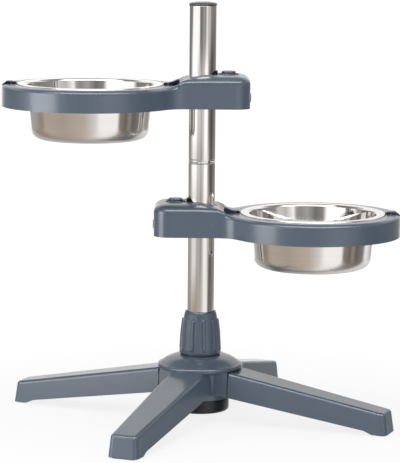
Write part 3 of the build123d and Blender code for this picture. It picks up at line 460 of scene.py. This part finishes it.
def lathe(profile, middle=(0, 0, 0), steps=96):
    """A profile of (r, z) turned about an upright axis: x = r cos t, y = r sin t, for t round a turn."""
    t = np.linspace(0, 2 * pi, steps, endpoint=False)
    r, z = profile[:, :1], profile[:, 1:]
    grid = np.stack([r * np.cos(t), r * np.sin(t), z + 0 * t], axis=-1)
    return grid + np.array(middle)


black_and_shade = moulded(
    "black_moulding_and_shade", (0.011, 0.012, 0.018), (0.009, 0.01, 0.014), 0.24, 0.32, film=0.02, ior=1.4)
cup_line = rounded([
    (6.6, 16.2, 0), (6.6, 9.2, 0.6), (32.5, 9.2, 3.4), (32.5, 22.9, 0.4), (31.3, 24.0, 0),
    (6.6, 24.0, 0)], 7)
cup = piece("base_cup", [lathe(cup_line)], black_and_shade, "stand", ends_meet=True)
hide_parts("base_cap")


# ---- Base bolt and leg screws
# Zinc-plated steel fasteners: the bolt draws the pole down into the hub, the screws hold the side
# legs. Every metal here shows the lines of its making and faint marks of handling.

# Turned rings: concentric lines round a piece's own axis, from its distance to that axis
tree, given, result = group(
    "turned_rings", {"Middle X": 0.0, "Middle Y": 0.0, "Pitch": 2500.0},
    {"Height": "Float", "Streak": "Float"})
place = add(tree, "SeparateXYZ", {0: add(tree, "TexCoord").outputs["Object"]}).outputs
across = math(tree, "SUBTRACT", place["X"], given.outputs["Middle X"])
along = math(tree, "SUBTRACT", place["Y"], given.outputs["Middle Y"])
flat = add(tree, "CombineXYZ", {"X": across, "Y": along}).outputs[0]
distance = add(tree, "VectorMath", {0: flat}, operation="LENGTH").outputs["Value"]
trace = add(tree, "CombineXYZ", {"X": distance, "Y": math(tree, "MULTIPLY", place["Z"], 0.6)}).outputs[0]
lines = noise(tree, trace, given.outputs["Pitch"], 2, 0.6)
tree.links.new(lines, result.inputs["Height"])
coarse = math(tree, "MULTIPLY", given.outputs["Pitch"], 0.12)
streak = noise(tree, trace, coarse, 3, 0.6)
tree.links.new(streak, result.inputs["Streak"])

# Drawn lines: fine lengthwise lines and a slow waviness up a tube's length
tree, given, result = group("drawn_lines", {"Pitch": 1800.0}, {"Height": "Float", "Streak": "Float"})
place = add(tree, "TexCoord").outputs["Object"]
long = add(tree, "Mapping", {"Vector": place, "Scale": (1, 1, 0.006)}).outputs[0]
tree.links.new(noise(tree, long, given.outputs["Pitch"], 2, 0.6), result.inputs["Height"])
coarse = math(tree, "MULTIPLY", given.outputs["Pitch"], 0.2)
tree.links.new(noise(tree, long, coarse, 3, 0.6), result.inputs["Streak"])

# Touch marks: faint clouded patches and spots that break a polish
tree, given, result = group(
    "touch_marks", {"Clear": 0.08, "Marked": 0.2, "Patch": 25.0}, {"Roughness": "Float"})
place = add(tree, "TexCoord").outputs["Object"]
cloud = noise(tree, place, given.outputs["Patch"], 5, 0.7)
mark = remap(tree, cloud, 0.45, 0.8, given.outputs["Clear"], given.outputs["Marked"])
tree.links.new(mark, result.inputs["Roughness"])


def metal(name, tone, clear, marked, lines, values, depth, streaks=0.06):
    """Metal: a tone with faint streaks, touch marks in its polish, and the lines its making left."""
    material = bpy.data.materials.new(name)
    material.use_nodes = True
    tree = material.node_tree
    shader = tree.nodes["Principled BSDF"]
    shader.inputs["Metallic"].default_value = 1
    cut = use(tree, lines, values)
    dark = tuple(level * (1 - streaks) for level in tone)
    colour = blend(tree, remap(tree, cut["Streak"], 0.3, 0.7), (*dark, 1), (*tone, 1))
    tree.links.new(colour, shader.inputs["Base Color"])
    gloss = use(tree, "touch_marks", {"Clear": clear, "Marked": marked, "Patch": 25.0})
    tree.links.new(gloss["Roughness"], shader.inputs["Roughness"])
    relief = add(tree, "Bump", {"Height": cut["Height"], "Strength": depth, "Distance": 0.0002})
    tree.links.new(relief.outputs[0], shader.inputs["Normal"])
    return material


zinc = metal(
    "zinc_plating", (0.62, 0.63, 0.65), 0.3, 0.45, "turned_rings", {"Pitch": 2200.0}, depth=0.15)
dress(zinc, "base_bolt", "leg_screws")


# ---- Pole tubes
# Two lengths of 30 mm welded stainless tube, polished lengthwise, with their ends rolled slightly
# in. They meet on a hidden joiner, and the lower one's mouth is beaded where they meet.
def keep_glare_off(thing):
    """Leaves a piece out of what the glare lamp shines on."""
    unglared.objects.link(thing)
    for entry in unglared.collection_objects:
        entry.light_linking.link_state = "EXCLUDE"


polished_tube = metal(
    "polished_tube", (0.66, 0.65, 0.64), 0.07, 0.14, "drawn_lines", {"Pitch": 1800.0}, depth=0.02,
    streaks=0.16)
lower_line = rounded([
    (13.5, 27, 0), (15, 27, 0.4), (15, 283.4, 0.5), (14.8, 284.0, 0.4), (14.8, 284.6, 0.4),
    (15.25, 285.2, 0.4), (15.25, 285.8, 0.4), (14.6, 286.4, 0), (13.5, 286.4, 0)], 5)
lower_tube = piece(
    "lower_tube", [lathe(lower_line)], polished_tube, "stand", ends_meet=True)
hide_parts("pole_lower_tube")
upper_line = rounded([
    (13.5, 286.6, 0), (14.5, 286.6, 0), (14.85, 287.2, 0.5), (14.85, 288.2, 0.5), (15, 289.2, 0.5),
    (15, 456, 0.4), (13.5, 456, 0)], 5)
upper_tube = piece(
    "upper_tube", [lathe(upper_line)], polished_tube, "stand", ends_meet=True)
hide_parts("pole_upper_tube")
keep_glare_off(lower_tube)
keep_glare_off(upper_tube)


# ---- Pole plug and joiner
# Turned steel bushes pressed into the tubes: the plug is tapped for the base bolt, and the joiner
# bridges the two tubes.
dress(zinc, "pole_plug", "pole_joiner")


# ---- Pole cap
# A small grey domed cap with a stem that pushes into the pole's open top. Its rim stands out a
# little over the tube and turns in beneath.
cap_grey = moulded(
    "cap_moulding", (0.055, 0.052, 0.065), (0.048, 0.046, 0.057), 0.3, 0.4, film=0.02)
cap_line = rounded([
    (0, 460.2, 0), (9, 459.8, 12), (14.2, 458.9, 3), (15.6, 457.4, 0.7), (15.3, 456.3, 0.6),
    (14.4, 456.02, 0), (13.3, 456.02, 0), (13.3, 447, 0.6), (0, 447, 0)], 7)
cap = piece("pole_end_cap", [lathe(cap_line)], cap_grey, "stand")
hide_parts("pole_cap")


# ---- Collet
# A slotted white nylon sleeve between pole and hub. The collar's cone squeezes its fingers shut.
nylon = moulded("white_nylon", (0.72, 0.71, 0.68), (0.66, 0.65, 0.62), 0.4, 0.5, film=0.0)
dress(nylon, "pole_collet")


# ---- Locking collar
# The slate hand nut at the pole's foot: a tapered skirt with ten thin upright grip ridges, a plain
# neck above them and a narrow brim at the bottom. A dark ring under the brim is painted shade for
# the shadow in the gap between brim and disc.
RIDGES = 10


def ridged_collar():
    """The outside has radius r(z) + w(t) e(z) mm. w is about 1.5 on ten ridges 3 mm wide, -0.3 in a
    fine groove at each side of them and 0 between, and e fades them out at brim and neck. The inside
    is a plain lathe."""
    z = np.concatenate([
        [72.4, 72.9, 74.0, 76.6, 77.1, 77.5], np.linspace(78, 110.6, 16),
        [111.2, 111.6, 112, 115.5, 119.2, 119.6]])
    r = np.interp(z, [72.4, 72.9, 74, 76.6, 77.1, 97, 111.6, 119.2, 119.6],
                  [21.4, 22.2, 23.1, 23.1, 21.6, 20.5, 18.7, 17.2, 16.9])
    t = np.linspace(0, 2 * pi, 900, endpoint=False)
    apart = 360 / RIDGES
    away = np.abs((np.degrees(t) + 79 + apart / 2) % apart - apart / 2)
    wave = np.interp(away, [0, 3.0, 3.7, 4.4, 4.9, 5.6, 6.6], [1.6, 1.5, 1.2, -0.15, -0.35, -0.3, 0])
    ridge = np.interp(z, [77.1, 77.6, 110.9, 111.7], [0, 1, 1, 0])[:, None] * wave
    outside = np.stack([r[:, None] + ridge, z[:, None] + 0 * t], axis=-1)
    bore = np.array([(15.9, 119.6), (15.7, 119.2), (15.9, 117), (18.5, 103.6), (19.3, 102.4), (19.3, 72.4)])
    inside = np.repeat(bore[:, None], len(t), axis=1)
    both = np.concatenate([outside, inside])
    return np.stack([both[..., 0] * np.cos(t), both[..., 0] * np.sin(t), both[..., 1]], axis=-1)


hand_nut = piece(
    "hand_nut", [ridged_collar()], slate, "collar", ends_meet=True, crease=45)
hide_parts("lock_collar")
keep_glare_off(hand_nut)
# A dark ring in the gap under the brim: painted shade for the shadow there.
brim_shade_line = rounded([(19.6, 72.3, 0), (21.9, 72.3, 0.3), (22.2, 74.2, 0.3), (19.6, 74.2, 0)], 3)
piece("nut_brim_shade", [lathe(brim_shade_line)], rubber_and_shade, "collar", ends_meet=True)


# ---- Bowl arms
# One-piece slate mouldings: a broad ring that holds the bowl, a riser, and the clamp block round
# the pole. The block's roof is crowned, and a thin round lip stands up round its button.

# Each arm's name, the height of its foot, and which way its bowl lies. Its shapes are worked out
# with the pole's axis at x = 0 and the bowl at x = RING_X.
LEVELS = (("upper", 346.0, -1), ("lower", 206.0, 1))
RING_X, BUTTON_X = 122.5, -28.5
BLOCK_END, BLOCK_HALF, CORNER = -52, 37, 17
NECK_R, NECK_X = 27.0, 16.88
WALL_TOP, ROOF_DEEP, ROOF_HIGH, ROOF_POWER = 25.9, 22, 9.8, 2.5
RISER_LOW, RISER_HIGH, ARM_EDGE = 23.5, 8, 4.8
LIP_R, LIP_BEAD = 10.4, 0.8


def from_edge(x, y):
    """How far a point lies inside the block's plan: from its straight sides, from its end with two
    round corners, and past x = NECK_X from the hollow arcs that lead into the ring."""
    to_end = np.stack([BLOCK_END + CORNER - x, np.abs(y) - BLOCK_HALF + CORNER])
    outside = np.hypot(*np.maximum(to_end, 0)) + np.minimum(np.max(to_end, axis=0), 0)
    in_neck = np.hypot(x - NECK_X, np.abs(y) - BLOCK_HALF - NECK_R) - NECK_R
    return np.where(x > NECK_X, in_neck, CORNER - outside)


def roof(x, y):
    """The block's top: 25.9 + 9.8 (1 - (1 - d / 22)^2.5)^(1 / 2.5), with d the distance in from its
    edge up to 22 mm. Past the pole it sinks smoothly to the riser, an S that falls 8 mm in 20 mm
    towards the bowl, with its edges rounded."""
    d = np.clip(from_edge(x, y), 0, ROOF_DEEP)
    bulge = np.clip(1 - (1 - d / ROOF_DEEP) ** ROOF_POWER, 0, 1) ** (1 / ROOF_POWER)
    cap = WALL_TOP + ROOF_HIGH * bulge
    step = np.clip((np.hypot(RING_X - x, y) - 92.5) / 20, 0, 1)
    riser = RISER_LOW + RISER_HIGH * np.where(step < 0.5, 2 * step ** 2, 1 - 2 * (1 - step) ** 2)
    riser += np.sqrt(ARM_EDGE ** 2 - np.clip(ARM_EDGE - d, 0, ARM_EDGE) ** 2) - ARM_EDGE - 0.15
    inner = np.clip((27 - x) / 32, 0, 1)
    return riser + (cap - riser) * inner ** 2 * (3 - 2 * inner)


def roof_patch(x_mid, hole, low_x, high_x):
    """The top round a round hole: rays from the hole's edge to the block's wall, found by halving, or
    to a line across the block, lifted to the roof and turned down at the hole. A wall and a flat
    underside close it."""
    t = np.linspace(0, 2 * pi, 200, endpoint=False)
    to_line = np.where(np.cos(t) > 0, high_x - x_mid, x_mid - low_x)
    to_line /= np.maximum(np.abs(np.cos(t)), 1e-6)
    near, far = np.full(t.shape, hole), np.minimum(to_line, 80)
    for _ in range(30):
        middle = (near + far) / 2
        inside = from_edge(x_mid + middle * np.cos(t), middle * np.sin(t)) > -0.12
        near, far = np.where(inside, middle, near), np.where(inside, far, middle)
    share = 1 - (1 - np.linspace(0, 1, 30)[:, None]) ** 1.8
    r = hole + (near - hole) * share
    x, y = x_mid + r * np.cos(t), r * np.sin(t)
    top = np.stack([x, y, roof(x, y) - 0.5 * np.exp(-(r - hole) / 0.25)], axis=-1)
    flat = top[[-1, -4, 0]] * (1, 1, 0) + (0, 0, 21.0)
    return np.concatenate([top, flat])


def button_lip():
    """A bead of 0.8 mm radius laid on the roof in a circle of 10.4 mm radius round the button."""
    t = np.linspace(0, 2 * pi, 96, endpoint=False)
    s = np.linspace(0, 2 * pi, 12, endpoint=False)[:, None]
    r = LIP_R + LIP_BEAD * np.cos(s)
    x, y = r * np.cos(t) + BUTTON_X, r * np.sin(t)
    laid = roof(LIP_R * np.cos(t) + BUTTON_X, LIP_R * np.sin(t))
    return np.stack([x, y, laid + 0.2 + LIP_BEAD * np.sin(s)], axis=-1)


dress(slate, "upper_arm", "lower_arm")
for level, z, way in LEVELS:
    crown = [roof_patch(0, 16.9, -18.7, 26), roof_patch(BUTTON_X, 9.6, -60, -17.1), button_lip()]
    crown = [grid * (way, way, 1) + (0, 0, z) for grid in crown]
    piece(level + "_block_crown", crown, slate, level + "_arm", ends_meet=True)


# ---- Guide bushes
# Black acetal bushes that line each block round the pole. A slanted lip of each shows above it.
dress(black_and_shade, "upper_guide_bush", "lower_guide_bush")


# ---- Glide liners
# Thin white nylon rings that run on the pole above and below the lock plate.
dress(nylon, "upper_liner_top", "upper_liner_bottom", "lower_liner_top", "lower_liner_bottom")


# ---- Release buttons
# A push button in each block, painted dark navy for the shade on its sides, with a slate cap whose
# flat top has been rubbed smooth and is painted a lighter slate as its highlight. It sits in a shallow
# round dish that a black ring lines, painted shade for the dish's recess.
navy_and_shade = moulded("navy_moulding_and_shade", (0.02, 0.032, 0.085), (0.016, 0.027, 0.072), 0.24, 0.34, film=0.03)
# The buttons' dark navy is painted shade for their shaded sides; the tabs below share this navy.
dress(navy_and_shade, "upper_release_button", "lower_release_button")
# The caps' lighter slate is a painted highlight on their flat tops; their lower roughness is their own.
highlit_slate = moulded("slate_painted_highlight", (0.15, 0.175, 0.21), (0.12, 0.145, 0.18), 0.14, 0.24, film=0.12)
cap_top_line = rounded([(0, 39.6, 0), (7.0, 39.4, 1.2), (7.9, 38.2, 0.5), (7.7, 37.3, 0.3), (0, 37.3, 0)], 7)
# A black ring in the dish round each button is painted shade for the recess there.
dish_shade_line = rounded([(7.9, 31.0, 0), (9.5, 31.0, 0), (9.5, 33.2, 0.4), (7.9, 33.2, 0.4)], 4)
for level, z, way in LEVELS:
    place = (BUTTON_X * way, 0, z)
    piece(level + "_button_cap", [lathe(cap_top_line, place)], highlit_slate, level + "_button")
    piece(
        level + "_button_dish_shade", [lathe(dish_shade_line, place)], black_and_shade, level + "_arm",
        ends_meet=True)


# ---- Lock plates, pins and springs
# Each block hides a steel plate that tilts on a pin and jams on the pole, and a coil spring that
# lifts the plate and is squeezed when the button levels it.
SPRING_X, COIL_R, WIRE_R, COIL_TURNS, COIL_HIGH = -34, 3.6, 0.45, 5, 9.4


def coil():
    """A round wire carried along a helix, square to its run: x = r cos a, y = r sin a, with z rising
    evenly over five turns. Its ends are closed."""
    share = np.linspace(0, 1, 241)[:, None]
    a = 2 * pi * COIL_TURNS * share
    s = np.linspace(0, 2 * pi, 10, endpoint=False)
    rise = COIL_HIGH / (2 * pi * COIL_TURNS)
    out, up = WIRE_R * np.cos(s), WIRE_R * np.sin(s) / np.hypot(COIL_R, rise)
    x = (COIL_R + out) * np.cos(a) + up * rise * np.sin(a)
    y = (COIL_R + out) * np.sin(a) - up * rise * np.cos(a)
    return closed_rows(np.stack([x, y, COIL_HIGH * share + up * COIL_R], axis=-1))


spring_wire = metal(
    "spring_wire", (0.5, 0.5, 0.51), 0.25, 0.4, "drawn_lines", {"Pitch": 1500.0}, depth=0.05)
for level, z, way in LEVELS:
    dress(zinc, level + "_lock_plate", level + "_plate_pin")
    wound = coil() * (way, way, 1) + (SPRING_X * way, 0, z + 2.95)
    spring = piece(level + "_coil_spring", [wound], spring_wire, level + "_arm")
    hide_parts(level + "_plate_spring")
    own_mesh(spring)


# ---- Arm covers and screws
# A black moulded cover closes each block from below with four screws, and one more screw sits
# in the small boss on the block's end.
blackened = metal(
    "blackened_steel", (0.06, 0.06, 0.065), 0.35, 0.5, "turned_rings", {"Pitch": 2200.0}, depth=0.15)
for level in ("upper", "lower"):
    dress(black_and_shade, level + "_arm_cover")
    dress(zinc, level + "_cover_screws")
    dress(blackened, level + "_end_screw")


# ---- Rim stops
# Two navy tabs plugged into each ring, with a soft black nose that bears on the bowl's rim. The far
# tab laps down over the ring's edge, and the near one lies up the riser.
def tab(outline, way, z, far):
    """An outline of (distance from the bowl's axis, height) carried 14 mm across and drawn in at its
    ends, on the ring's far side (far = 1) or beside the riser (far = -1)."""
    line = rounded(outline + outline[:1], 5)[:-1]
    across = np.array([-7, -6.9, -6.4, -5.6, 5.6, 6.4, 6.9, 7])[:, None]
    size = np.array([0.7, 0.85, 0.96, 1, 1, 0.96, 0.85, 0.7])[:, None]
    middle = line.mean(axis=0)
    r = middle[0] + (line[:, 0] - middle[0]) * size
    up = middle[1] + (line[:, 1] - middle[1]) * size
    x = RING_X + far * r
    return closed_rows(np.stack([x * way, (across + 0 * x) * way, up + z], axis=-1))


far_line = [
    (84.9, 21, 0), (84.9, 26.4, 0.7), (90.8, 26.6, 2), (96.1, 22.6, 0.4), (95.3, 21.6, 0.3),
    (91.4, 22.8, 0)]
near_line = [(84.9, 21, 0), (84.9, 26.3, 0.7), (88.5, 26.9, 2), (96.8, 30.4, 1), (98, 26, 0), (92, 21, 0)]
for level, z, way in LEVELS:
    for name, outline, far in (("far", far_line, 1), ("neck", near_line, -1)):
        shape = tab(outline, way, z, far)
        stop = piece("%s_%s_tab" % (level, name), [shape], navy_and_shade, level + "_arm")
        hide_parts("%s_stop_%s" % (level, name))
    dress(black_and_shade, level + "_stop_noses")


# ---- Bowls
# Deep bowls spun from one polished steel sheet: a rolled bead round a flat flange, a rounded mouth,
# sides that taper in, and a pressed foot ring underneath. The round foot keeps the haze of spinning.
def bowl_profile():
    """The sheet's whole outline, from the middle of its underside out round the rim and back inside:
    foot ring, tapered side, mouth, flange with its bead, then the same lines one sheet further in."""
    outside = rounded([
        (0, -35.3, 0), (44.5, -35.3, 1.2), (46.3, -36.5, 1.2), (64.2, -36.5, 14.5), (70.5, 23.3, 2.1),
        (77.8, 23.3, 0)], 12)
    turn = np.linspace(-0.6 * pi, 0.5 * pi, 14)[:, None]
    bead = np.array([78.6, 23.2]) + 1.1 * np.hstack([np.cos(turn), np.sin(turn)])
    inside = rounded([
        (78.6, 24.3, 0), (69.7, 24.2, 3), (63.4, -35.6, 13.6), (46.4, -35.6, 1.2), (44.6, -34.4, 1.2),
        (0, -34.4, 0)], 12)
    return np.concatenate([outside, bead, inside[1:]])


for level, z, way in LEVELS:
    x = RING_X * way
    polish = metal(
        level + "_polished_sheet", (0.66, 0.65, 0.64), 0.05, 0.1, "turned_rings",
        {"Middle X": x / 1000, "Middle Y": 0.0, "Pitch": 1600.0}, depth=0.02)
    tree = polish.node_tree
    rough = tree.nodes["Principled BSDF"].inputs["Roughness"]
    up = add(tree, "SeparateXYZ", {0: add(tree, "TexCoord").outputs["Object"]}).outputs["Z"]
    haze = remap(tree, up, (z - 32) / 1000, (z - 16) / 1000, 0.36, 0.05, smooth=True)
    tree.links.new(math(tree, "MAXIMUM", rough.links[0].from_socket, haze), rough)
    shape = lathe(bowl_profile(), (x, 0, z), 144)
    bowl = piece(level + "_spun_bowl", [shape], polish, level + "_bowl")
    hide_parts(level + "_bowl")
    keep_glare_off(bowl)
